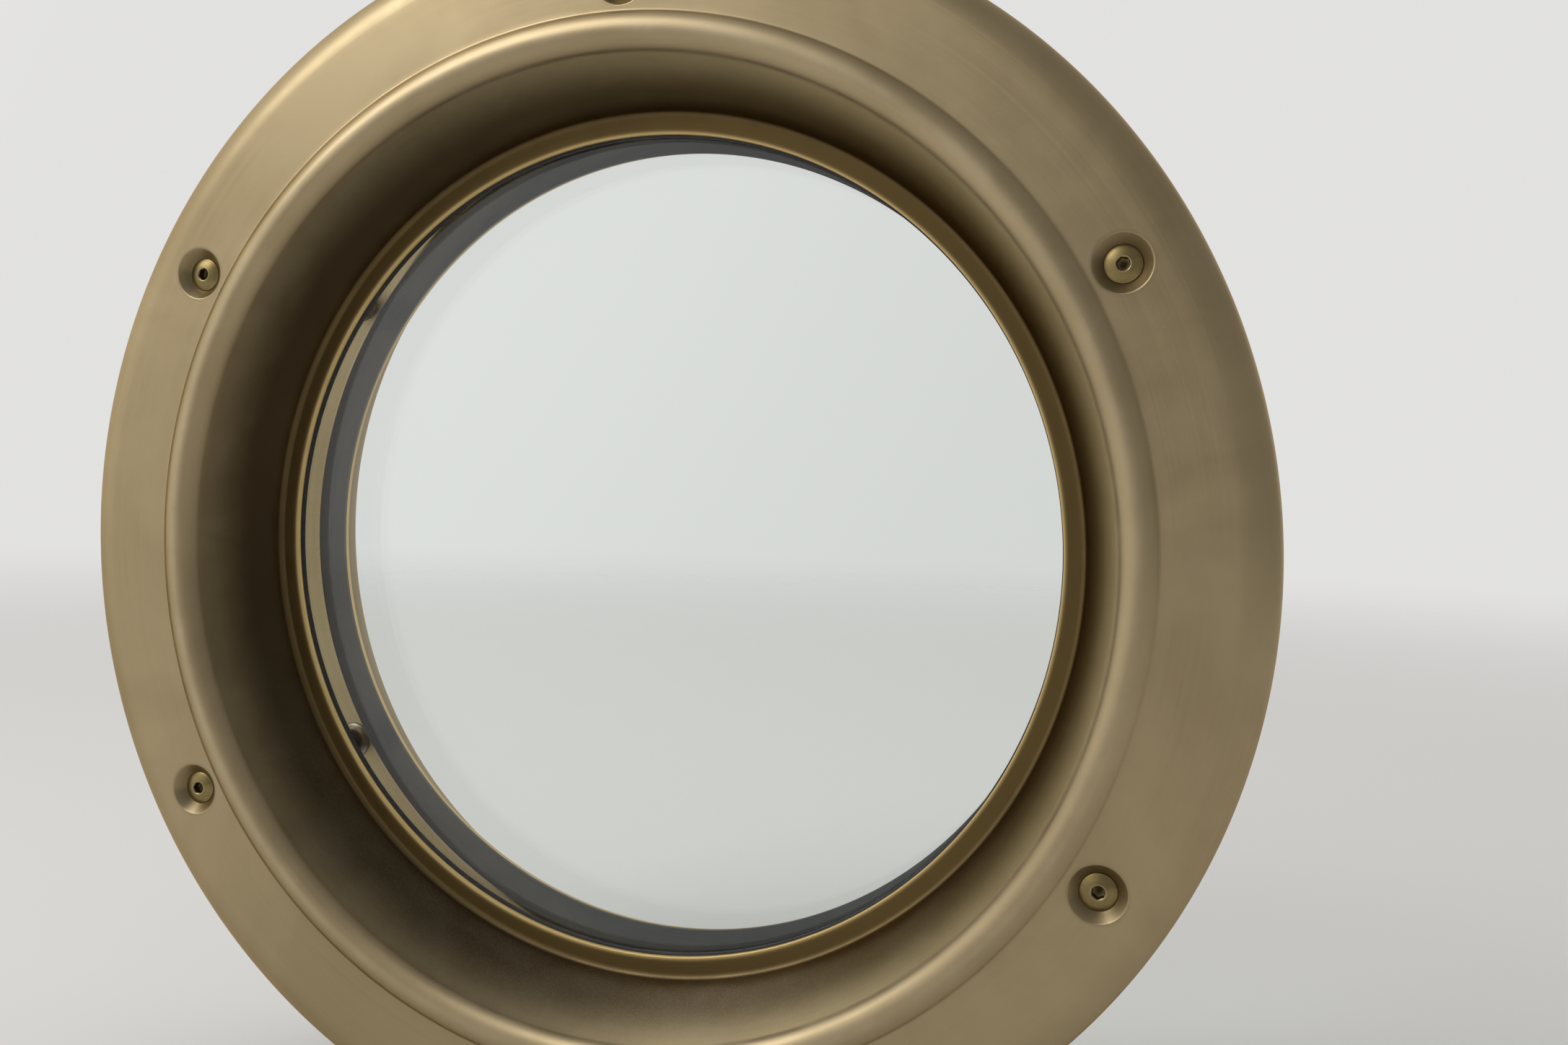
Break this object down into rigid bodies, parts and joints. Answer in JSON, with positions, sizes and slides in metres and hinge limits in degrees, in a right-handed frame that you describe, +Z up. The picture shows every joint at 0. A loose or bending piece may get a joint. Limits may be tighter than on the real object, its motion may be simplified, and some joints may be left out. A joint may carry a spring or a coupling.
{
  "type": "porthole window",
  "caption": "Round door window: two spun steel rings with a conical reveal clamp a sealed double glass unit, held by screws in dimples on the room side.",
  "frame": {"origin": "on the axis of the rings, half way through the leaf that they clamp", "axes": "+Y from the room through the leaf to the weather side, +Z up, +X to the right seen from the room"},
  "size_m": [0.35, 0.0926, 0.35],
  "materials": {
    "spun_steel": "satin, spun with fine turning lines",
    "screw_steel": "plain stainless",
    "barrel_steel": "turned",
    "sleeve_rubber": "matt",
    "glass": "clear",
    "spacer_aluminium": "mill finish",
    "key_steel": "zinc plated",
    "desiccant": "beads",
    "butyl": "matt",
    "edge_sealant": "tooled, matt",
    "gasket_rubber": "matt",
    "seal_foam": "closed cell foam"
  },
  "bodies": {
    "root": {"inner_ring": "spun_steel", "outer_ring": "spun_steel", "screws": "screw_steel", "threaded_barrels": "barrel_steel", "barrel_sleeves": "sleeve_rubber", "inner_pane": "glass", "outer_pane": "glass", "spacer_frame": "spacer_aluminium", "spacer_key": "key_steel", "desiccant": "desiccant", "inner_butyl": "butyl", "outer_butyl": "butyl", "edge_sealant": "edge_sealant", "inner_glazing_gasket": "gasket_rubber", "outer_glazing_gasket": "gasket_rubber", "inner_leaf_seal": "seal_foam", "outer_leaf_seal": "seal_foam"}
  },
  "joints": []
}
